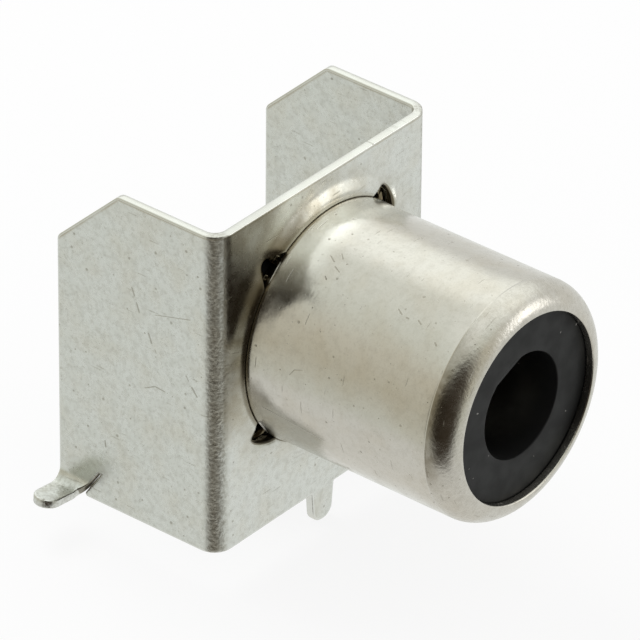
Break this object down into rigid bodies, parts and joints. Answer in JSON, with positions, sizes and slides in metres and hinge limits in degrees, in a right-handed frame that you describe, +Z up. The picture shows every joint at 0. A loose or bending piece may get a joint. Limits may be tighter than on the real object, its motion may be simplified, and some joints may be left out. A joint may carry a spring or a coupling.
{
  "type": "phono socket",
  "caption": "Right-angle phono (RCA) socket with a drawn metal barrel, a black insulator and a folded sheet-metal bracket with solder legs.",
  "frame": {"origin": "midway along the front plate's front face, on the board plane at the plates' bottom edges", "axes": "-Y out of the barrel's mouth, +X to the right along the front plate seen from the front, +Z up from the board"},
  "size_m": [0.0138, 0.0151, 0.0132],
  "materials": {
    "plated_sheet": "tin-plated steel sheet, satin with fine specks and scratches",
    "plated_barrel": "nickel-plated drawn steel, semi-bright with small scratches",
    "black_plastic": "moulded black thermoplastic with a soft sheen",
    "contact_strip": "tin-plated copper-alloy strip"
  },
  "bodies": {
    "root": {"bracket": "plated_sheet", "barrel": "plated_barrel", "insulator": "black_plastic", "centre_contact": "contact_strip"}
  },
  "joints": []
}
